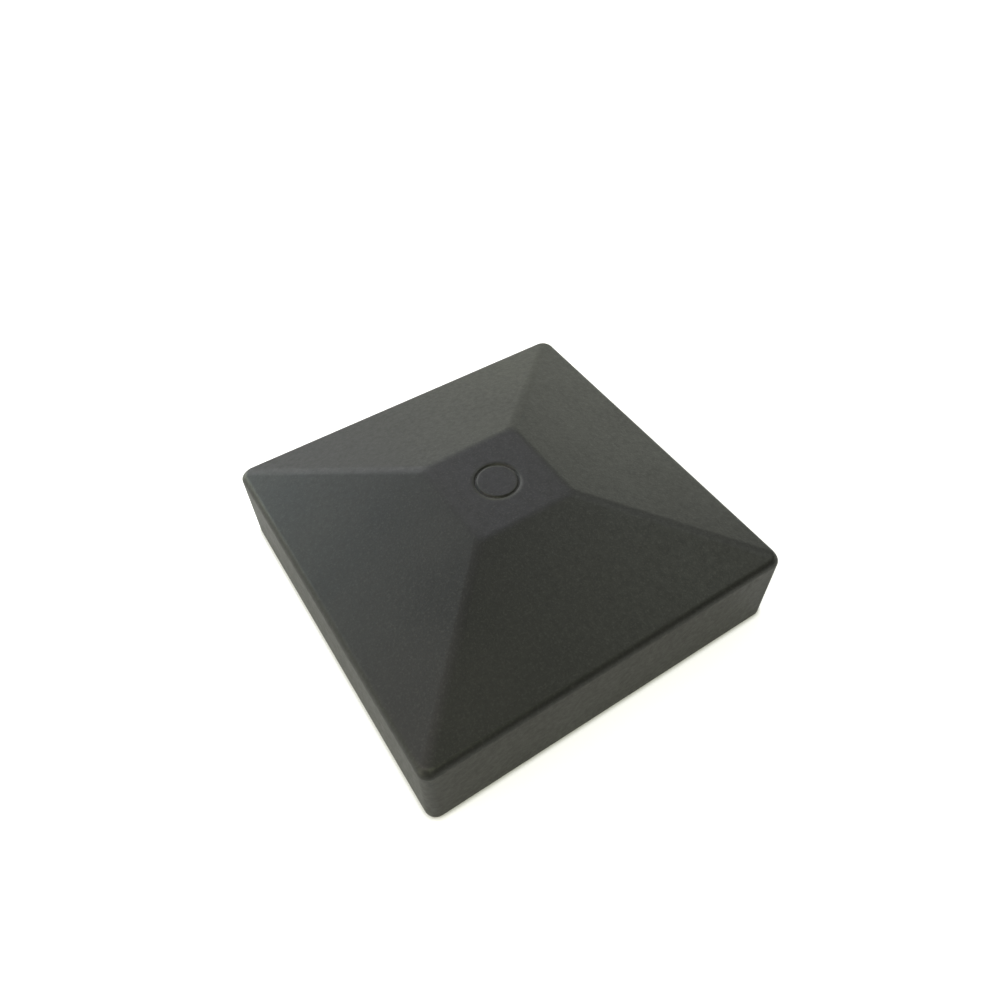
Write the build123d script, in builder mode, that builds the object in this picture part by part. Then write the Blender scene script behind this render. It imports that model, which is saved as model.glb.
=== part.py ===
from build123d import *
import math
import os

# Pyramid cap for a nominal 4x4 fence post, with a concealed sprung fixing.
# Millimetres. Origin at the middle of the skirt's bottom edge, +Z up.

# ---- Post ------------------------------------------------------------------
post_width = 89.0  # planed size of a nominal 4x4
post_overlap = 10.0  # how far the post's end stands inside the skirt

# ---- Cap casting -----------------------------------------------------------
cap_width = 98.0
skirt_height = 22.6
total_height = 34.6
plateau_width = 26.0
wall = 2.5
corner_radius = 2.8
inner_corner_radius = 1.5
hip_radius = 6.5
rim_radius = 2.4
foot_radius = 0.5
rib_thickness = 1.8
rib_depth = 4.0
stop_radius = 3.2
stop_reach = 35.5  # of each stop post from the middle, along X and along Y
mark_radius = 5.5  # engraved ring in the middle of the plateau
mark_line = 0.6
mark_depth = 0.4

# ---- Post gasket -----------------------------------------------------------
gasket_thickness = 1.5
gasket_width = 84.0

# ---- Fixing plate ----------------------------------------------------------
sheet = 1.5
plate_width = 88.0
plate_height = 8.0
bend_radius = 1.0  # inside the bend
corner_cut = 11.0  # cut off each corner of the pan, along the side
opening_radius = 16.0
collar_height = 2.5  # drawn rim round the opening, above the floor
screw_spacing = 56.0
screw_hole_radius = 2.25
bead_reach = 30.0  # from the middle of the plate to the middle of a stiffening bead
bead_length = 17.0
bead_width = 6.0
bead_height = 0.9

# ---- Springs and rivets ----------------------------------------------------
spring_sheet = 0.4
spring_width = 5.0
spring_flat = 6.0  # half length of the flat middle
spring_crest = 20.0  # from the middle of the spring to where it bears
spring_tail = 5.0  # beyond the crest
spring_clearance = 0.02
rivet_radius = 1.25
rivet_hole_radius = 1.3
rivet_head_radius = 2.4
rivet_head_height = 1.1
rivet_tail_radius = 2.0
rivet_tail_height = 0.8

# ---- Grip pads -------------------------------------------------------------
pad_clearance = 0.2  # between a pad and the post
pad_length = 12.0
pad_height = 8.0
pad_bottom = 1.0
pad_reach = 36.0  # from the middle of a side to the middle of a pad
pad_lead_in = 0.9

# ---- Worked out ------------------------------------------------------------
half_cap = cap_width / 2
half_socket = half_cap - wall
socket_width = 2 * half_socket
plate_bottom = post_overlap + gasket_thickness
floor_top = plate_bottom + sheet
half_plate = plate_width / 2
spring_height = (floor_top + plate_bottom + plate_height) / 2
pad_thickness = half_socket - post_width / 2 - pad_clearance

SIDES = {"right": 0, "back": 90, "left": 180, "front": 270}


def outward(turn):
    """Unit vector straight out of the side that stands at this turn about Z."""
    return Vector(1, 0, 0).rotate(Axis.Z, turn)


def side_plane(turn, reach, height):
    """Upright plane on one side: x along the side, y up, z straight out."""
    origin = outward(turn) * reach + Vector(0, 0, height)
    return Plane(origin=origin, x_dir=outward(turn + 90), z_dir=outward(turn))


def is_hip(edge):
    """True for an edge between two roof facets: neither level nor upright."""
    return 0.05 < abs(edge.tangent_at(0.5).Z) < 0.95


def dome(edge, height):
    """Arc from the edge of a round head to its crown on the axis, height away from it."""
    reach, radius = edge
    ball = (radius**2 + height**2) / (2 * abs(height))
    middle = reach + height - math.copysign(ball, height)
    swing = math.asin(radius / ball) / 2
    halfway = (
        middle + math.copysign(ball * math.cos(swing), height),
        ball * math.sin(swing),
    )
    return ThreePointArc(edge, halfway, (reach + height, 0))


def roofed_block(width, inset):
    """Square block under the cap's four roof facets and plateau, all moved in by inset."""
    rise = total_height - skirt_height
    run = (cap_width - plateau_width) / 2
    with BuildPart() as block:
        with BuildSketch():
            Rectangle(width, width)
        extrude(amount=total_height - inset)
        for turn in SIDES.values():
            normal = (outward(turn) * rise + Vector(0, 0, run)).normalized()
            rim = outward(turn) * half_cap + Vector(0, 0, skirt_height)
            facet = Plane(origin=rim - normal * inset, x_dir=outward(turn + 90), z_dir=normal)
            split(bisect_by=facet, keep=Keep.BOTTOM)
    return block.part


outer_block = roofed_block(cap_width, 0)
inner_block = roofed_block(socket_width, wall)
under_ribs = roofed_block(socket_width, wall + rib_depth)

# ---- Casting core: the hollow inside the cap, less its ribs and stop posts --
with BuildPart() as core:
    add(inner_block)
    with BuildSketch():
        for angle in (45, -45):
            with Locations(Rotation(0, 0, angle)):
                Rectangle(2 * cap_width, rib_thickness)
    extrude(amount=total_height, mode=Mode.SUBTRACT)
    add(under_ribs)
    with BuildSketch(Plane.XY.offset(floor_top)):
        with GridLocations(2 * stop_reach, 2 * stop_reach, 2, 2):
            Circle(stop_radius)
    extrude(amount=total_height, mode=Mode.SUBTRACT)
    with BuildSketch():
        RectangleRounded(socket_width, socket_width, inner_corner_radius)
    extrude(amount=total_height, mode=Mode.INTERSECT)

# ---- Cap shell -------------------------------------------------------------
with BuildPart() as cap_shell:
    add(outer_block)
    hips = cap_shell.edges().filter_by(is_hip)
    plateau = cap_shell.edges().group_by(Axis.Z)[-1]
    fillet(hips + plateau, radius=hip_radius)
    fillet(cap_shell.edges().filter_by(Axis.Z), radius=corner_radius)
    level = cap_shell.edges().filter_by_position(Axis.Z, skirt_height - 0.2, skirt_height + 0.8)
    rim = level.filter_by(lambda edge: edge.bounding_box().size.Z < corner_radius / 2)
    fillet(rim, radius=rim_radius)
    fillet(cap_shell.edges().group_by(Axis.Z)[0], radius=foot_radius)
    add(core.part, mode=Mode.SUBTRACT)
    with BuildSketch(Plane.XY.offset(total_height)):
        Circle(mark_radius)
        Circle(mark_radius - mark_line, mode=Mode.SUBTRACT)
    extrude(amount=-mark_depth, mode=Mode.SUBTRACT)

# ---- Fixing plate: a pressed pan with its corners cut off -------------------
with BuildPart() as fixing_plate:
    with BuildSketch(Plane.XY.offset(plate_bottom)):
        Rectangle(plate_width, plate_width)
    extrude(amount=plate_height)
    fillet(fixing_plate.edges().group_by(Axis.Z)[0], radius=bend_radius + sheet)
    offset(amount=-sheet, openings=fixing_plate.faces().sort_by(Axis.Z)[-1])
    with BuildSketch(Plane.XY.offset(plate_bottom)):
        with PolarLocations(half_plate * math.sqrt(2), 4, start_angle=45):
            Rectangle(corner_cut * math.sqrt(2), plate_width)
    extrude(amount=plate_height, mode=Mode.SUBTRACT)
    with BuildSketch(Plane.XY.offset(plate_bottom)):
        Circle(opening_radius + sheet)
    extrude(amount=sheet + collar_height)
    fillet(fixing_plate.edges().filter_by(GeomType.CIRCLE).sort_by(Axis.Z)[-1], radius=sheet / 2)
    with BuildSketch(Plane.XY.offset(floor_top)):
        with PolarLocations(bead_reach, 4):
            SlotOverall(bead_length, bead_width)
    extrude(amount=bead_height)
    bead_top = floor_top + bead_height
    crowns = fixing_plate.faces().filter_by_position(Axis.Z, bead_top, bead_top)
    fillet(crowns.edges(), radius=bead_height / 2)
    with BuildSketch(Plane.XY.offset(plate_bottom)):
        with PolarLocations(bead_reach, 4):
            SlotOverall(bead_length - 2 * sheet, bead_width - 2 * sheet)
    extrude(amount=bead_height, mode=Mode.SUBTRACT)
    with BuildSketch(Plane.XY.offset(plate_bottom)):
        Circle(opening_radius)
        with GridLocations(screw_spacing, screw_spacing, 2, 2):
            Circle(screw_hole_radius)
    extrude(amount=plate_height, mode=Mode.SUBTRACT)
    for turn in SIDES.values():
        with BuildSketch(side_plane(turn, half_plate, spring_height)):
            Circle(rivet_hole_radius)
        extrude(amount=-2 * sheet, mode=Mode.SUBTRACT)

# ---- Gasket between the plate and the post's end grain ----------------------
with BuildPart() as post_gasket:
    with BuildSketch(Plane.XY.offset(post_overlap)):
        Rectangle(gasket_width, gasket_width)
        with PolarLocations(gasket_width / math.sqrt(2), 4, start_angle=45):
            Rectangle(corner_cut * math.sqrt(2), gasket_width, mode=Mode.SUBTRACT)
        Circle(opening_radius, mode=Mode.SUBTRACT)
        with GridLocations(screw_spacing, screw_spacing, 2, 2):
            Circle(screw_hole_radius, mode=Mode.SUBTRACT)
    extrude(amount=gasket_thickness)

# ---- Rivets: one through each spring and flange -----------------------------
with BuildPart() as clip_rivets:
    outer_seat = half_plate + spring_sheet
    inner_seat = half_plate - sheet
    for turn in SIDES.values():
        lengthwise = Plane(
            origin=(0, 0, spring_height),
            x_dir=outward(turn),
            z_dir=outward(turn - 90),
        )
        with BuildSketch(lengthwise):
            with BuildLine():
                shank = Line((inner_seat, rivet_radius), (outer_seat, rivet_radius))
                Line(shank @ 1, (outer_seat, rivet_head_radius))
                Line(shank @ 0, (inner_seat, rivet_tail_radius))
                dome((outer_seat, rivet_head_radius), rivet_head_height)
                dome((inner_seat, rivet_tail_radius), -rivet_tail_height)
                Line(
                    (inner_seat - rivet_tail_height, 0),
                    (outer_seat + rivet_head_height, 0),
                )
            make_face()
        revolve(axis=Axis((0, 0, spring_height), outward(turn)))


def spring(turn):
    """Leaf spring on one side: a flat middle, two wings that bow out to the skirt, curled tails."""
    flat_reach = half_plate + spring_sheet / 2
    crest_reach = half_socket - spring_clearance - spring_sheet / 2
    rise = (crest_reach - flat_reach) / 2
    run = (spring_crest - spring_flat) / 2
    swing = 2 * math.atan(rise / run)
    bow_radius = run / math.sin(swing)
    tail_swing = math.asin(spring_tail / bow_radius)
    tip_reach = crest_reach - bow_radius * (1 - math.cos(tail_swing))
    plan = Plane(
        origin=(0, 0, spring_height - spring_width / 2),
        x_dir=outward(turn),
        z_dir=(0, 0, 1),
    )
    with BuildPart() as leaf:
        with BuildSketch(plan):
            with BuildLine():
                flat = Line((flat_reach, 0), (flat_reach, spring_flat))
                bend = TangentArc(
                    flat @ 1,
                    (flat_reach + rise, spring_flat + run),
                    tangent=flat % 1,
                )
                ThreePointArc(
                    bend @ 1,
                    (crest_reach, spring_crest),
                    (tip_reach, spring_crest + spring_tail),
                )
                mirror(about=Plane.XZ)
                offset(amount=spring_sheet / 2, side=Side.BOTH)
            make_face()
        extrude(amount=spring_width)
        with BuildSketch(side_plane(turn, half_plate + spring_sheet, spring_height)):
            Circle(rivet_hole_radius)
        extrude(amount=-2 * spring_sheet, mode=Mode.SUBTRACT)
    return leaf.part


def grip_pad(turn, along):
    """Rubber pad on the inside of one side, with a lead-in on its lower inner edge."""
    with BuildPart() as pad:
        with BuildSketch(side_plane(turn, half_socket, pad_bottom)):
            with Locations((along, pad_height / 2)):
                Rectangle(pad_length, pad_height)
        extrude(amount=-pad_thickness)
        inner = pad.faces().sort_by(Axis(outward(turn) * half_cap, -outward(turn)))[-1]
        chamfer(inner.edges().sort_by(Axis.Z)[0], length=pad_lead_in)
    return pad.part


pieces = {
    "cap_shell": cap_shell.part,
    "fixing_plate": fixing_plate.part,
    "post_gasket": post_gasket.part,
    "clip_rivets": clip_rivets.part,
}
for side, turn in SIDES.items():
    pieces["spring_clip_" + side] = spring(turn)
    ends = ("front", "back") if side in ("left", "right") else ("left", "right")
    for end in ends:
        toward_end = outward(SIDES[end]).dot(outward(turn + 90))
        pieces["grip_pad_" + side + "_" + end] = grip_pad(turn, pad_reach * toward_end)

os.makedirs("parts", exist_ok=True)
for name, piece in pieces.items():
    piece.label = name
    export_step(piece, "parts/" + name + ".step")
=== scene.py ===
"""Looks of a pyramid fence post cap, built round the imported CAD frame. Metres, +Z up."""
import math

import bmesh
import bpy
from mathutils import Matrix, Vector, noise


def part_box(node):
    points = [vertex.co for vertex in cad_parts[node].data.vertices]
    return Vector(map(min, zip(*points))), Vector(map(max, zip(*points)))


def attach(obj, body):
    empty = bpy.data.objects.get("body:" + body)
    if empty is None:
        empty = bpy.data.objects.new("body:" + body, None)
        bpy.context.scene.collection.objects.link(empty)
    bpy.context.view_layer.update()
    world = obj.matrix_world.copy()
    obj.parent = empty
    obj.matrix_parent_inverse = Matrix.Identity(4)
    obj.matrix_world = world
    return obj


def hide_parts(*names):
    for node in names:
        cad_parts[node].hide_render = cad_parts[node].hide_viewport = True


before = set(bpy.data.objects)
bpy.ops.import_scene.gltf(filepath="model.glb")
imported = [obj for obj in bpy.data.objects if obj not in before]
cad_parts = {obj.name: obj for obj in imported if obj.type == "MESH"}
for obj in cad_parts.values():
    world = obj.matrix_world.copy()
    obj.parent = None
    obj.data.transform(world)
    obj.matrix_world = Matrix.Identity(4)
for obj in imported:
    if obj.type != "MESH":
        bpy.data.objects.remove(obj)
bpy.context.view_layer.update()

MM = 0.001

# ---- Cap casting: outer size from the frame, main sizes as in the CAD, small roundings added ----
SHELL_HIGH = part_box("cap_shell")[1]
HALF = SHELL_HIGH.x
TOP = SHELL_HIGH.z
SKIRT = 22.6 * MM
PLATEAU_HALF = 13.0 * MM
WALL = 2.5 * MM
RIM_RADIUS = 2.4 * MM
PLATEAU_RADIUS = 6.5 * MM
CORNER_RADIUS = 2.8 * MM
RIM_CORNER = 3.1 * MM        # of a level cut half way up the rim, where the corner is ball-shaped
HIP_RADIUS = 2.1 * MM        # of a level cut through a hip
FOOT_RADIUS = 0.5 * MM
INNER_CORNER = 1.5 * MM
INNER_HIP = 1.0 * MM         # of a level cut through a hip of the roof's underside
INNER_FILLET = 0.9 * MM      # between the skirt's inside and the roof's underside
INNER_FOOT = 0.3 * MM
MARK_OUTER = 5.5 * MM
MARK_INNER = 4.9 * MM
MARK_DEPTH = 0.4 * MM
MARK_LIP = 0.06 * MM

SLOPE = (TOP - SKIRT) / (HALF - PLATEAU_HALF)
PITCH = math.atan(SLOPE)
INNER_HALF = HALF - WALL
INNER_TOP = TOP - WALL

# ---- Ribs and stop posts inside the casting ----
RIB_THICKNESS = 1.8 * MM
RIB_DEPTH = 4.0 * MM
RIB_KNEE = 0.27              # share of the inner half width, where a rib turns level with the roof
STOP_RADIUS = 3.2 * MM
STOP_REACH = 35.5 * MM
STOP_FOOT = 13.0 * MM
STOP_EDGE = 0.4 * MM         # soft edge round a post's foot
BURY = 0.8 * MM              # how far ribs and posts run into the roof

# ---- How far the cast faces have drawn in ----
SINK_DEPTH = 0.05 * MM
SLOW_WAVES = 35.0            # per metre
FINE_WAVES = 110.0

# ---- Mesh density of the casting: segments of a level cut, and level cuts down a stretch ----
CORNER_STEPS = 10
SIDE_STEPS = 40
SHOULDER_STEPS = 6
ROOF_STEPS = 24
RIM_STEPS = 12
SKIRT_STEPS = 10
FOOT_STEPS = 4
INNER_FOOT_STEPS = 3
INNER_SKIRT_STEPS = 8
INNER_FILLET_STEPS = 5
INNER_ROOF_STEPS = 14
RIB_EDGE_STEPS = 6
POST_STEPS = 32

# ---- Grip pads and gasket ----
PAD_EDGE = 0.7 * MM
PAD_GROOVE = 0.28 * MM
PAD_RIDGES = 4
PAD_EDGE_SHARE = 0.55        # of the pad's thickness that its outermost edge keeps
PAD_COLUMNS = 36
PAD_ROWS = 30
GASKET_EDGE = 0.35 * MM
SAME_POINT = 1e-6

# ---- Studio ----
TABLE_RADIUS = 1.3
TABLE_STEPS = 96
# Table: TABLE_GLOW is a glow of the table that lights the cap though the table is no lamp; OVER_EXPOSURE
# is an extra glow only the camera sees; within CONTACT_SHADOW of the cap that extra glow fades, a painted
# contact shadow.
CONTACT_SHADOW = 1.5 * MM
OVER_EXPOSURE = 0.55
TABLE_GLOW = 0.09
AMBIENT = 0.03
SOFTBOX_DISTANCE = 1.6
SOFTBOX_SIZE = 0.9
SOFTBOXES = {
    # name: (azimuth, elevation, watts, tint)
    "back_left_low": (-150, 10, 10.3, (0.96, 1.00, 0.79)),
    "back_left": (-150, 28, 4.3, (0.68, 0.86, 1.00)),
    "left_low": (-90, 10, 6.6, (0.99, 1.00, 0.75)),
    "left_high": (-90, 52, 6.8, (1.00, 0.88, 0.84)),
    "front_left_high": (-30, 52, 6.5, (0.93, 1.00, 0.68)),
    "front_right_high": (60, 52, 1.7, (0.94, 1.00, 0.75)),
    "right_high": (90, 52, 3.0, (0.96, 1.00, 0.93)),
    "back_right_low": (120, 10, 3.3, (0.97, 1.00, 0.86)),
    "back_low": (150, 10, 2.6, (0.97, 1.00, 0.80)),
    "back_high": (150, 52, 3.1, (0.89, 0.88, 1.00)),
    "back": (180, 28, 6.0, (0.97, 0.98, 1.00)),
}
CAMERA_AZIMUTH = -32.25
CAMERA_ELEVATION = 49.87
CAMERA_ROLL = -0.95
CAMERA_DISTANCE = 4.742        # in half widths of the cap
CAMERA_AIM = (0.2625, 0.3925)  # in half widths, the point of the table it looks at
CAMERA_LENS = 29.05
CAMERA_SENSOR = 36.0
CAMERA_NEAR = 0.005
WHITE = (1.0, 1.0, 1.0, 1.0)


# ---- Mesh helpers ----
def make_object(name, bm):
    """Object from a bmesh, with outward normals and smooth shading."""
    bmesh.ops.recalc_face_normals(bm, faces=bm.faces)
    mesh = bpy.data.meshes.new(name)
    bm.to_mesh(mesh)
    bm.free()
    mesh.polygons.foreach_set("use_smooth", [True] * len(mesh.polygons))
    piece = bpy.data.objects.new(name, mesh)
    bpy.context.scene.collection.objects.link(piece)
    return piece


def apply_modifiers(piece):
    """Replaces the mesh by what its modifiers make of it."""
    bpy.context.view_layer.update()
    graph = bpy.context.evaluated_depsgraph_get()
    mesh = bpy.data.meshes.new_from_object(piece.evaluated_get(graph), depsgraph=graph)
    piece.modifiers.clear()
    piece.data = mesh


def bridge(bm, rings):
    """Quads between each closed ring of vertices and the next."""
    for low, high in zip(rings, rings[1:]):
        for i in range(len(low)):
            j = (i + 1) % len(low)
            bm.faces.new((low[i], low[j], high[j], high[i]))


def rounded_square(half, corner, roundness):
    """Points round a square with arc corners. roundness 1 turns it into a circle of radius half."""
    points = []
    flat = half - corner
    for quarter in range(4):
        turn = Matrix.Rotation(quarter * math.pi / 2, 2)
        side = [(half, flat * (2 * i / SIDE_STEPS - 1)) for i in range(SIDE_STEPS)]
        arc = []
        for i in range(CORNER_STEPS):
            angle = math.pi / 2 * i / CORNER_STEPS
            arc.append((flat + corner * math.cos(angle), flat + corner * math.sin(angle)))
        points += [turn @ Vector(p) for p in side + arc]
    if roundness:
        circle = [p.normalized() * half for p in points]
        points = [p.lerp(c, roundness) for p, c in zip(points, circle)]
    return points


def arc_points(centre, radius, start, end, steps):
    """(half, height) points of an arc; its angle is measured from straight up, outwards."""
    points = []
    for i in range(steps + 1):
        angle = start + (end - start) * i / steps
        points.append((centre[0] + radius * math.sin(angle), centre[1] + radius * math.cos(angle)))
    return points


def ramp(start, end, steps):
    """Points strictly between two (half, height) points."""
    a, b = Vector(start), Vector(end)
    return [tuple(a.lerp(b, i / steps)) for i in range(1, steps)]


def smooth_step(value):
    """0 at or below 0, 1 at or above 1, smooth between."""
    t = min(max(value, 0.0), 1.0)
    return t * t * (3 - 2 * t)


# ---- The cap casting: its skin goes through level cuts (half, corner, height, roundness) ----
def round_cut(half, height, roundness=1.0):
    """Level cut near the axis, where the square turns into a circle."""
    return half, min(HIP_RADIUS, half / 2), height, roundness


def square_cuts(points, corner):
    """Level cuts through (half, height) points, with one corner radius."""
    return [(half, corner, height, 0.0) for half, height in points]


def rim_corner(share):
    """Corner radius of a level cut through the rim, from the roof at 0 to the skirt at 1."""
    if share < 0.5:
        return HIP_RADIUS + (RIM_CORNER - HIP_RADIUS) * smooth_step(2 * share)
    return RIM_CORNER + (CORNER_RADIUS - RIM_CORNER) * smooth_step(2 * share - 1)


def mark_cuts():
    """The middle of the plateau with its engraved ring, and the change from circle to square."""
    groove = TOP - MARK_DEPTH
    return [round_cut(half * MM, TOP) for half in (0.8, 2.0, 3.4, 4.4)] + [
        round_cut(MARK_INNER - MARK_LIP, TOP),
        round_cut(MARK_INNER, TOP - MARK_LIP),
        round_cut(MARK_INNER + MARK_LIP, groove),
        round_cut(MARK_OUTER - MARK_LIP, groove),
        round_cut(MARK_OUTER, TOP - MARK_LIP),
        round_cut(MARK_OUTER + MARK_LIP, TOP),
        round_cut(6.4 * MM, TOP, 0.9),
        round_cut(8.0 * MM, TOP, 0.5),
        round_cut(10.0 * MM, TOP, 0.15),
    ]


def outer_cuts():
    """Level cuts from the middle of the top, over the roof and the rim, down to the foot."""
    tangent = PLATEAU_RADIUS * math.tan(PITCH / 2)
    crown = (PLATEAU_HALF - tangent, TOP - PLATEAU_RADIUS)
    shoulder = arc_points(crown, PLATEAU_RADIUS, 0, PITCH, SHOULDER_STEPS)
    rim_height = SKIRT + RIM_RADIUS * SLOPE - RIM_RADIUS / math.cos(PITCH)
    rim = arc_points((HALF - RIM_RADIUS, rim_height), RIM_RADIUS, PITCH, math.pi / 2, RIM_STEPS)
    foot = arc_points((HALF - FOOT_RADIUS, FOOT_RADIUS), FOOT_RADIUS, math.pi / 2, math.pi, FOOT_STEPS)
    cuts = mark_cuts()
    cuts += square_cuts(shoulder, HIP_RADIUS)
    cuts += square_cuts(ramp(shoulder[-1], rim[0], ROOF_STEPS), HIP_RADIUS)
    cuts += [(half, rim_corner(i / RIM_STEPS), height, 0.0) for i, (half, height) in enumerate(rim)]
    cuts += square_cuts(ramp(rim[-1], foot[0], SKIRT_STEPS), CORNER_RADIUS)
    cuts += [(half, CORNER_RADIUS - (HALF - half), height, 0.0) for half, height in foot]
    return cuts


def roof_underside(half):
    """Height of the roof's inner face at a level cut of this half width."""
    return min(INNER_TOP, SKIRT + (HALF - half) * SLOPE - WALL / math.cos(PITCH))


def inner_cuts():
    """Level cuts from the inner foot up the skirt's inside and under the roof to the middle."""
    foot_middle = (INNER_HALF + INNER_FOOT, INNER_FOOT)
    foot = arc_points(foot_middle, INNER_FOOT, math.pi, 3 * math.pi / 2, INNER_FOOT_STEPS)
    eaves = roof_underside(INNER_HALF - INNER_FILLET) - INNER_FILLET / math.cos(PITCH)
    fillet_middle = (INNER_HALF - INNER_FILLET, eaves)
    fillet = arc_points(fillet_middle, INNER_FILLET, math.pi / 2, PITCH, INNER_FILLET_STEPS)
    level = INNER_HALF - (INNER_TOP - roof_underside(INNER_HALF)) / SLOPE
    roof = ramp(fillet[-1], (level, INNER_TOP), INNER_ROOF_STEPS)
    cuts = [(half, INNER_CORNER + half - INNER_HALF, height, 0.0) for half, height in foot]
    cuts += square_cuts(ramp(foot[-1], fillet[0], INNER_SKIRT_STEPS) + fillet, INNER_CORNER)
    cuts += square_cuts(roof + [(level, INNER_TOP)], INNER_HIP)
    cuts += [round_cut(level * share, INNER_TOP, 1 - share) for share in (0.7, 0.4, 0.1)]
    return cuts


def sink(point):
    """How far a cast face has drawn in at a point: a slow wave, never outwards."""
    slow = noise.noise(point * SLOW_WAVES)
    fine = noise.noise(point * FINE_WAVES + Vector((7.0, 3.0, 1.0)))
    return (0.5 + 0.4 * slow + 0.1 * fine) * SINK_DEPTH


def skin_mesh():
    """Closed skin through all the level cuts, outside and in."""
    bm = bmesh.new()
    outside, inside = outer_cuts(), inner_cuts()
    rings = []
    for half, corner, height, roundness in outside + inside:
        points = rounded_square(half, corner, roundness)
        rings.append([bm.verts.new((p.x, p.y, height)) for p in points])
    bridge(bm, rings)
    for ring, height in ((rings[0], TOP), (rings[-1], INNER_TOP)):
        middle = bm.verts.new((0, 0, height))
        for i in range(len(ring)):
            bm.faces.new((ring[i], ring[(i + 1) % len(ring)], middle))
    bmesh.ops.recalc_face_normals(bm, faces=bm.faces)
    bm.normal_update()
    for ring in rings[:len(outside)]:
        for vertex in ring:
            vertex.co -= vertex.normal * sink(vertex.co)
    return bm


def diagonal_rib(turn):
    """Stiffening rib under one diagonal: a slab with a rounded lower edge that follows the roof."""
    bm = bmesh.new()
    knee = INNER_HALF * RIB_KNEE
    half_width = RIB_THICKNESS / 2
    depth = RIB_DEPTH / math.cos(PITCH)
    profile = [(half_width, BURY), (half_width, -depth + half_width)]
    for i in range(1, RIB_EDGE_STEPS):
        angle = math.pi * i / RIB_EDGE_STEPS
        profile.append((half_width * math.cos(angle), -depth + half_width * (1 - math.sin(angle))))
    profile += [(-half_width, -depth + half_width), (-half_width, BURY)]
    spin = Matrix.Rotation(turn, 3, "Z")
    rings = []
    for reach in (-INNER_HALF - BURY, -knee, knee, INNER_HALF + BURY):
        base = roof_underside(min(abs(reach), INNER_HALF))
        along = reach * math.sqrt(2)
        rings.append([bm.verts.new(spin @ Vector((along, across, base + up))) for across, up in profile])
    bridge(bm, rings)
    bm.faces.new(rings[0])
    bm.faces.new(reversed(rings[-1]))
    return make_object("rib", bm)


def stop_post(x, y):
    """Round post that carries the shell on the fixing plate. Its head follows the roof's underside."""
    bm = bmesh.new()

    def circle(radius):
        angles = [2 * math.pi * i / POST_STEPS for i in range(POST_STEPS)]
        return [(x + radius * math.cos(angle), y + radius * math.sin(angle)) for angle in angles]

    foot = [
        (STOP_RADIUS - STOP_EDGE, STOP_FOOT),
        (STOP_RADIUS - STOP_EDGE * 0.3, STOP_FOOT + STOP_EDGE * 0.3),
        (STOP_RADIUS, STOP_FOOT + STOP_EDGE),
    ]
    rings = [[bm.verts.new((*spot, height)) for spot in circle(radius)] for radius, height in foot]
    head = []
    for spot in circle(STOP_RADIUS):
        roof = roof_underside(max(abs(spot[0]), abs(spot[1]))) + BURY
        head.append(bm.verts.new((*spot, roof)))
    rings.append(head)
    bridge(bm, rings)
    bm.faces.new(reversed(rings[0]))
    bm.faces.new(rings[-1])
    return make_object("stop", bm)


def weigh_normals(piece, weight, keep_sharp):
    """Keeps flat faces flat in the smooth shading."""
    weigh = piece.modifiers.new("flat_faces", "WEIGHTED_NORMAL")
    weigh.weight = weight
    weigh.keep_sharp = keep_sharp


def build_shell():
    """The casting in one closed mesh: skin, ribs and stop posts."""
    shell = make_object("cap_casting", skin_mesh())
    extras = [diagonal_rib(math.pi / 4), diagonal_rib(-math.pi / 4)]
    for x in (-STOP_REACH, STOP_REACH):
        extras += [stop_post(x, y) for y in (-STOP_REACH, STOP_REACH)]
    for extra in extras:
        union = shell.modifiers.new("union", "BOOLEAN")
        union.operation = "UNION"
        union.solver = "MANIFOLD"
        union.object = extra
        apply_modifiers(shell)
        bpy.data.objects.remove(extra)
    weigh_normals(shell, 60, True)
    return shell


# ---- Soft pieces: pads and gasket ----
def pad_depth(u, v, length, height, thickness):
    """How far the pad's face stands off the wall at (u, v), both 0 to 1: soft edges, grip ridges."""
    edge_u = min(u, 1 - u) * length / PAD_EDGE
    edge_v = min(v, 1 - v) * height / PAD_EDGE
    rim = smooth_step(min(edge_u, 1) ** 0.5) * smooth_step(min(edge_v, 1) ** 0.5)
    inside = smooth_step(min(edge_u, edge_v) - 1)
    groove = PAD_GROOVE * inside * (0.5 + 0.5 * math.cos(2 * math.pi * PAD_RIDGES * v))
    return (thickness - groove) * (PAD_EDGE_SHARE + (1 - PAD_EDGE_SHARE) * rim)


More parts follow.
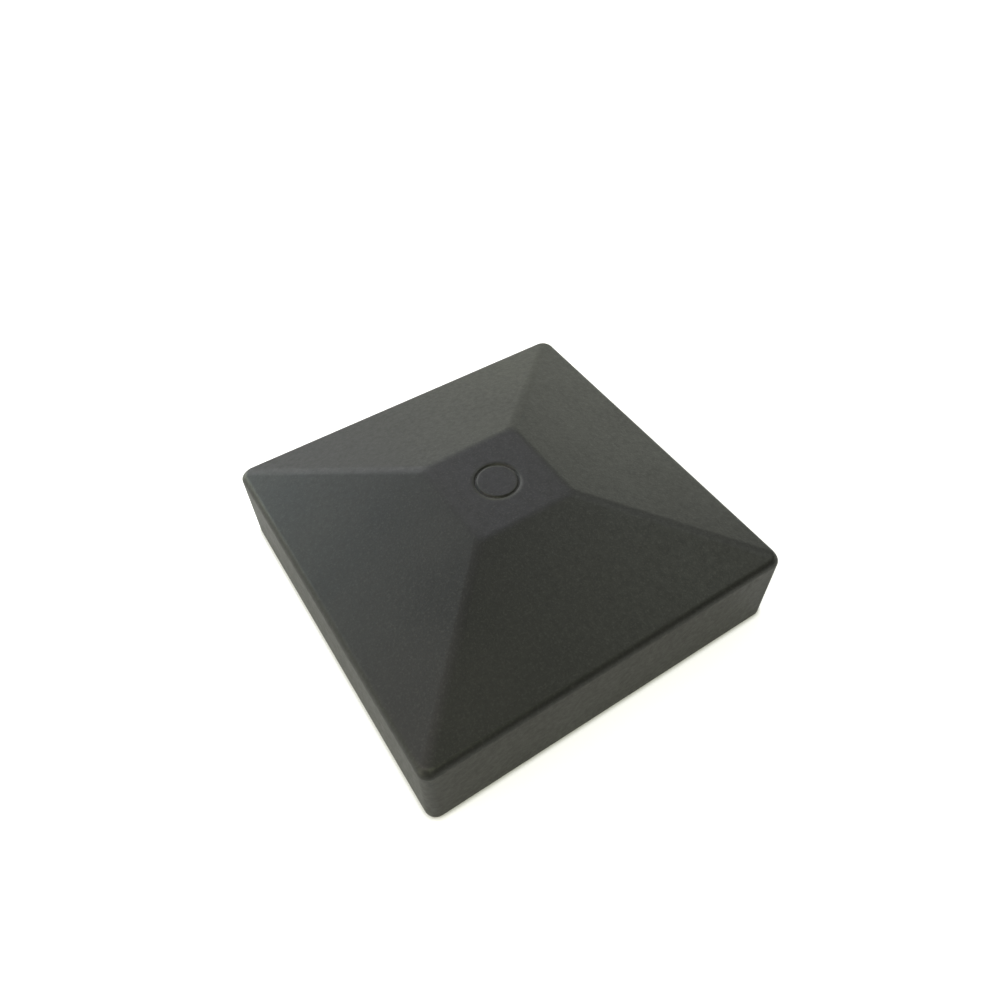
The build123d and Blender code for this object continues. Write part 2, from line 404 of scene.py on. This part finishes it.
def grip_pad(node):
    """Moulded rubber pad in its CAD solid's box: rounded edges and four grip ridges."""
    low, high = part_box(node)
    middle, size = (low + high) / 2, high - low
    across = 0 if size.x < size.y else 1          # the thin way, square to the skirt's wall
    along = 1 - across
    wall_side = math.copysign(1, middle[across])
    back = high[across] if wall_side > 0 else low[across]
    bm = bmesh.new()

    def vertex(u, v, depth):
        spot = Vector((0, 0, low.z + size.z * v))
        spot[along] = low[along] + size[along] * u
        spot[across] = back - wall_side * depth
        return bm.verts.new(spot)

    def face_row(v):
        us = [i / PAD_COLUMNS for i in range(PAD_COLUMNS + 1)]
        return [vertex(u, v, pad_depth(u, v, size[along], size.z, size[across])) for u in us]

    def back_row(v):
        return [vertex(i / PAD_COLUMNS, v, 0.0) for i in range(PAD_COLUMNS + 1)]

    face = [face_row(j / PAD_ROWS) for j in range(PAD_ROWS + 1)]
    bottom, top = back_row(0), back_row(1)
    ends = {j: (vertex(0, j / PAD_ROWS, 0.0), vertex(1, j / PAD_ROWS, 0.0)) for j in range(1, PAD_ROWS)}
    ends[0] = (bottom[0], bottom[-1])
    ends[PAD_ROWS] = (top[0], top[-1])
    for j in range(PAD_ROWS):
        for i in range(PAD_COLUMNS):
            bm.faces.new((face[j][i], face[j][i + 1], face[j + 1][i + 1], face[j + 1][i]))
        for end, i in ((0, 0), (1, PAD_COLUMNS)):
            bm.faces.new((ends[j][end], face[j][i], face[j + 1][i], ends[j + 1][end]))
    for base, row in ((bottom, face[0]), (top, face[-1])):
        for i in range(PAD_COLUMNS):
            bm.faces.new((base[i], base[i + 1], row[i + 1], row[i]))
    outline = bottom + [ends[j][1] for j in range(1, PAD_ROWS)]
    outline += top[::-1] + [ends[j][0] for j in range(PAD_ROWS - 1, 0, -1)]
    bm.faces.new(outline)
    return make_object(node + "_rubber", bm)


def foam_gasket():
    """Foam sheet: the CAD sheet's outline with pressed, rounded edges."""
    bm = bmesh.new()
    bm.from_mesh(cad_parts["post_gasket"].data)
    bmesh.ops.remove_doubles(bm, verts=bm.verts, dist=SAME_POINT)
    bmesh.ops.dissolve_limit(bm, angle_limit=0.01, verts=bm.verts, edges=bm.edges)
    sharp = [e for e in bm.edges if e.is_manifold and e.calc_face_angle() > 1.2]
    bmesh.ops.bevel(bm, geom=sharp, offset=GASKET_EDGE, segments=3, profile=0.5, affect="EDGES")
    return make_object("foam_sheet", bm)


# ---- Materials ----
class Finish:
    """A procedural material: node helpers with texture sizes in millimetres."""

    def __init__(self, name):
        self.material = bpy.data.materials.new(name)
        self.material.use_nodes = True
        self.nodes = self.material.node_tree.nodes
        self.links = self.material.node_tree.links
        self.shader = self.nodes["Principled BSDF"]
        place = self.nodes.new("ShaderNodeTexCoord")
        scale = self.nodes.new("ShaderNodeVectorMath")
        scale.operation = "SCALE"
        scale.inputs["Scale"].default_value = 1 / MM
        self.links.new(place.outputs["Object"], scale.inputs[0])
        self.place = scale.outputs["Vector"]

    def stretched(self, x, y, z):
        """Coordinates divided by these factors, so that a texture runs long that way."""
        node = self.nodes.new("ShaderNodeVectorMath")
        node.operation = "DIVIDE"
        node.inputs[1].default_value = (x, y, z)
        self.links.new(self.place, node.inputs[0])
        return node.outputs["Vector"]

    def noise(self, size, detail=2.0, roughness=0.5, place=None):
        """Clouds of this size. More detail and roughness give finer ones on top."""
        node = self.nodes.new("ShaderNodeTexNoise")
        node.inputs["Scale"].default_value = 1 / size
        node.inputs["Detail"].default_value = detail
        node.inputs["Roughness"].default_value = roughness
        self.links.new(place or self.place, node.inputs["Vector"])
        return node.outputs["Fac"]

    def cells(self, size):
        """Distance to the nearest of points scattered about this far apart."""
        node = self.nodes.new("ShaderNodeTexVoronoi")
        node.inputs["Scale"].default_value = 1 / size
        self.links.new(self.place, node.inputs["Vector"])
        return node.outputs["Distance"]

    def remap(self, value, low, high, start=0.0, end=1.0):
        """value from [low, high] to [start, end], clamped."""
        node = self.nodes.new("ShaderNodeMapRange")
        for name, number in (("From Min", low), ("From Max", high), ("To Min", start), ("To Max", end)):
            node.inputs[name].default_value = number
        self.links.new(value, node.inputs["Value"])
        return node.outputs["Result"]

    def math(self, operation, a, b):
        """Arithmetic on two numbers or sockets."""
        node = self.nodes.new("ShaderNodeMath")
        node.operation = operation
        for socket, value in zip(node.inputs, (a, b)):
            self.feed(socket, value)
        return node.outputs[0]

    def blend(self, factor, first, second):
        """Colour mix. first and second are colours or sockets."""
        node = self.nodes.new("ShaderNodeMix")
        node.data_type = "RGBA"
        self.links.new(factor, node.inputs["Factor"])
        for socket, value in ((node.inputs[6], first), (node.inputs[7], second)):
            self.feed(socket, value)
        return node.outputs[2]

    def feed(self, socket, value):
        """Gives a socket a number, a colour or another node's output."""
        if isinstance(value, (int, float)):
            socket.default_value = value
        elif isinstance(value, tuple):
            socket.default_value = (*value, 1.0)
        else:
            self.links.new(value, socket)

    def outward_edges(self):
        """1 on outward edges and corners, 0 on flats and in hollows."""
        geometry = self.nodes.new("ShaderNodeNewGeometry")
        return self.remap(geometry.outputs["Pointiness"], 0.505, 0.56)

    def set(self, **sockets):
        """Feeds the shader's sockets, named with _ for a space."""
        for name, value in sockets.items():
            self.feed(self.shader.inputs[name.replace("_", " ")], value)

    def bump(self, *layers):
        """Bump from (height socket, depth in mm) layers."""
        normal = None
        for height, depth in layers:
            node = self.nodes.new("ShaderNodeBump")
            node.inputs["Distance"].default_value = depth * MM
            self.links.new(height, node.inputs["Height"])
            if normal:
                self.links.new(normal, node.inputs["Normal"])
            normal = node.outputs["Normal"]
        self.links.new(normal, self.shader.inputs["Normal"])


def powder_coat():
    """Satin black powder coat: orange peel, fine grain, faint dust and lighter outward edges."""
    f = Finish("black_powder_coat")
    cloud = f.noise(size=22.0, detail=3.0)
    peel = f.noise(size=1.3, detail=3.0, roughness=0.6)
    grain = f.noise(size=0.5, detail=2.0, roughness=0.6)
    base = f.blend(f.remap(cloud, 0.35, 0.65), (0.0175, 0.0180, 0.0176), (0.0215, 0.0215, 0.0205))
    base = f.blend(f.remap(peel, 0.38, 0.66, 0.0, 0.50), base, (0.0100, 0.0100, 0.0100))
    base = f.blend(f.remap(grain, 0.52, 0.70, 0.0, 0.60), base, (0.0420, 0.0420, 0.0400))
    # outward edges and corners are made lighter, in patches
    lighter_edges = f.math("MULTIPLY", f.outward_edges(), f.remap(f.noise(size=3.0, detail=4.0), 0.40, 0.62, 0.05, 0.6))
    base = f.blend(lighter_edges, base, (0.060, 0.060, 0.058))
    rough = f.math("ADD", f.remap(cloud, 0.3, 0.7, 0.42, 0.48), f.remap(peel, 0.3, 0.7, -0.05, 0.05))
    f.set(Base_Color=base, Roughness=rough, IOR=1.5)
    f.bump((peel, 0.035), (grain, 0.018))
    return f.material


def zinc_plate():
    """Zinc-plated pressed steel: dull spangle, faint passivation tint, rolling lines."""
    f = Finish("zinc_plated_steel")
    spangle = f.noise(size=6.0, detail=4.0, roughness=0.6)
    lines = f.noise(size=0.5, detail=2.0, place=f.stretched(24.0, 1.0, 1.0))
    base = f.blend(f.remap(spangle, 0.35, 0.65), (0.52, 0.54, 0.56), (0.64, 0.63, 0.59))
    base = f.blend(f.remap(lines, 0.45, 0.75, 0.0, 0.4), base, (0.42, 0.42, 0.43))
    f.set(Base_Color=base, Metallic=0.95, Roughness=f.remap(spangle, 0.3, 0.7, 0.34, 0.52))
    f.bump((lines, 0.006), (spangle, 0.02))
    return f.material


def spring_steel():
    """Cold-rolled stainless strip: fine lines and a faintly uneven tone."""
    f = Finish("spring_steel")
    lines = f.noise(size=0.12, detail=3.0, roughness=0.6, place=f.stretched(30.0, 30.0, 1.0))
    patch = f.noise(size=4.0, detail=3.0)
    base = f.blend(f.remap(patch, 0.35, 0.65), (0.60, 0.59, 0.57), (0.70, 0.69, 0.66))
    f.set(Base_Color=base, Metallic=1.0, Roughness=f.remap(lines, 0.3, 0.7, 0.24, 0.40))
    f.bump((lines, 0.004))
    return f.material


def rivet_metal():
    """Aluminium rivet: slightly hammered head."""
    f = Finish("rivet_aluminium")
    dents = f.noise(size=0.8, detail=2.0)
    base = f.blend(f.remap(dents, 0.35, 0.65), (0.66, 0.66, 0.67), (0.80, 0.80, 0.80))
    f.set(Base_Color=base, Metallic=1.0, Roughness=f.remap(dents, 0.3, 0.7, 0.28, 0.45))
    f.bump((dents, 0.02))
    return f.material


def pad_rubber():
    """Moulded EPDM: matte black, dusty bloom, fine mould texture."""
    f = Finish("pad_rubber")
    bloom = f.noise(size=3.0, detail=4.0, roughness=0.6)
    grain = f.noise(size=0.25, detail=2.0)
    base = f.blend(f.remap(bloom, 0.4, 0.7), (0.014, 0.014, 0.015), (0.035, 0.034, 0.033))
    f.set(Base_Color=base, Roughness=f.remap(bloom, 0.3, 0.7, 0.62, 0.80))
    f.bump((grain, 0.015))
    return f.material


def foam_rubber():
    """Closed-cell foam: dark grey with small open pores on its skin, their hollows darkened with painted
    shade.
    """
    f = Finish("foam_rubber")
    pores = f.cells(size=0.7)
    shade = f.noise(size=9.0, detail=3.0)
    base = f.blend(f.remap(shade, 0.35, 0.65), (0.030, 0.031, 0.033), (0.052, 0.052, 0.054))
    # painted shade: the pores' hollows are coloured darker
    base = f.blend(f.remap(pores, 0.10, 0.30), (0.010, 0.010, 0.011), base)
    f.set(Base_Color=base, Roughness=0.92)
    f.bump((f.remap(pores, 0.05, 0.35), 0.06), (f.noise(size=5.0, detail=2.0), 0.10))
    return f.material


def white_table():
    """Pale matt table with a faint glow of its own that lights the cap. The camera sees it a little
    over-exposed from an extra glow, except close under the cap's edges, where that glow fades to paint a
    contact shadow.
    """
    f = Finish("white_table")
    tone = f.noise(size=60.0, detail=3.0)
    base = f.blend(f.remap(tone, 0.3, 0.7), (0.80, 0.80, 0.80), (0.83, 0.83, 0.83))
    f.set(Base_Color=base, Roughness=f.remap(tone, 0.3, 0.7, 0.65, 0.75))
    # painted contact shadow: the camera's extra glow fades close under the cap's edges, by ambient
    # occlusion
    painted_shadow_occlusion = f.nodes.new("ShaderNodeAmbientOcclusion")
    painted_shadow_occlusion.inputs["Distance"].default_value = CONTACT_SHADOW
    painted_shadow_occlusion.samples = 8
    path = f.nodes.new("ShaderNodeLightPath")
    camera_glow_with_painted_shadow = f.math("MULTIPLY", f.remap(painted_shadow_occlusion.outputs["AO"], 0.50, 0.90), path.outputs["Is Camera Ray"])
    # the steady glow lights the cap, though the table is no lamp
    f.set(Emission_Strength=f.math("ADD", f.math("MULTIPLY", camera_glow_with_painted_shadow, OVER_EXPOSURE), TABLE_GLOW))
    f.shader.inputs["Emission Color"].default_value = WHITE
    return f.material


# ---- The pieces and what they wear ----
def wear(piece, material):
    """Gives a piece its one material."""
    piece.data.materials.clear()
    piece.data.materials.append(material)


def stand_for(piece, node, body, material):
    """A new piece in place of a CAD node: its body and its material, with the CAD node hidden."""
    wear(piece, material)
    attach(piece, body)
    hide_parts(node)


def soften(piece, width):
    """Small rounded edges on a metal CAD node, with flat faces kept flat in the shading."""
    weld = piece.modifiers.new("weld", "WELD")
    weld.merge_threshold = SAME_POINT
    bevel = piece.modifiers.new("soft_edges", "BEVEL")
    bevel.width = width
    bevel.segments = 2
    bevel.limit_method = "ANGLE"
    bevel.angle_limit = math.radians(40)
    weigh_normals(piece, 100, False)
    piece.data.polygons.foreach_set("use_smooth", [True] * len(piece.data.polygons))


METAL_NODES = (
    # start of the node's name, its material, its rounded edge
    ("spring_clip", spring_steel, 0.06 * MM),
    ("fixing_plate", zinc_plate, 0.18 * MM),
    ("clip_rivets", rivet_metal, 0.08 * MM),
)

stand_for(build_shell(), "cap_shell", "cap", powder_coat())
rubber = pad_rubber()
for name in sorted(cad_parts):
    if name.startswith("grip_pad"):
        stand_for(grip_pad(name), name, "cap", rubber)
stand_for(foam_gasket(), "post_gasket", "fixing_base", foam_rubber())
for start, finish, edge in METAL_NODES:
    metal = finish()
    for name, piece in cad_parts.items():
        if name.startswith(start):
            wear(piece, metal)
            soften(piece, edge)


# ---- Studio ----
def direction(azimuth, elevation):
    """Unit vector from the object towards a point of the studio. Azimuth 0 is the front, -90 the left."""
    a, e = math.radians(azimuth), math.radians(elevation)
    return Vector((math.sin(a) * math.cos(e), -math.cos(a) * math.cos(e), math.sin(e)))


def add_floor():
    """Wide round table."""
    bm = bmesh.new()
    bmesh.ops.create_circle(bm, cap_ends=True, radius=TABLE_RADIUS, segments=TABLE_STEPS)
    floor = make_object("table", bm)
    wear(floor, white_table())


def add_lights():
    """Round soft lights on a half sphere, all aimed at the middle of the cap's foot."""
    for name, (azimuth, elevation, power, tint) in SOFTBOXES.items():
        lamp = bpy.data.lights.new(name, "AREA")
        lamp.shape = "DISK"
        lamp.size = SOFTBOX_SIZE
        lamp.energy = power
        lamp.color = tint
        holder = bpy.data.objects.new(name, lamp)
        way = direction(azimuth, elevation)
        holder.location = way * SOFTBOX_DISTANCE
        holder.rotation_mode = "QUATERNION"
        holder.rotation_quaternion = way.to_track_quat("Z", "Y")
        bpy.context.scene.collection.objects.link(holder)


def add_world():
    """Even white room: what the camera sees past the table is white, and the light it gives is faint."""
    world = bpy.data.worlds.new("room")
    bpy.context.scene.world = world
    world.use_nodes = True
    nodes, links = world.node_tree.nodes, world.node_tree.links
    path = nodes.new("ShaderNodeLightPath")
    strength = nodes.new("ShaderNodeMapRange")
    strength.inputs["To Min"].default_value = AMBIENT
    strength.inputs["To Max"].default_value = 1.0
    links.new(path.outputs["Is Camera Ray"], strength.inputs["Value"])
    links.new(strength.outputs["Result"], nodes["Background"].inputs["Strength"])
    nodes["Background"].inputs["Color"].default_value = WHITE


def add_camera():
    """Camera in the air in front and to the left of the cap, rolled a little."""
    data = bpy.data.cameras.new("camera")
    data.lens = CAMERA_LENS
    data.sensor_width = CAMERA_SENSOR
    data.clip_start = CAMERA_NEAR
    camera = bpy.data.objects.new("camera", data)
    back = direction(CAMERA_AZIMUTH, CAMERA_ELEVATION)
    right = Vector((0, 0, 1)).cross(back).normalized()
    up = back.cross(right)
    roll = math.radians(CAMERA_ROLL)
    across = right * math.cos(roll) + up * math.sin(roll)
    above = up * math.cos(roll) - right * math.sin(roll)
    place = Matrix((across, above, back)).transposed().to_4x4()
    aim = Vector((*CAMERA_AIM, 0)) * HALF
    place.translation = aim + back * CAMERA_DISTANCE * HALF
    camera.matrix_world = place
    bpy.context.scene.collection.objects.link(camera)
    bpy.context.scene.camera = camera


add_floor()
add_lights()
add_world()
add_camera()
bpy.context.scene.view_settings.view_transform = "Standard"
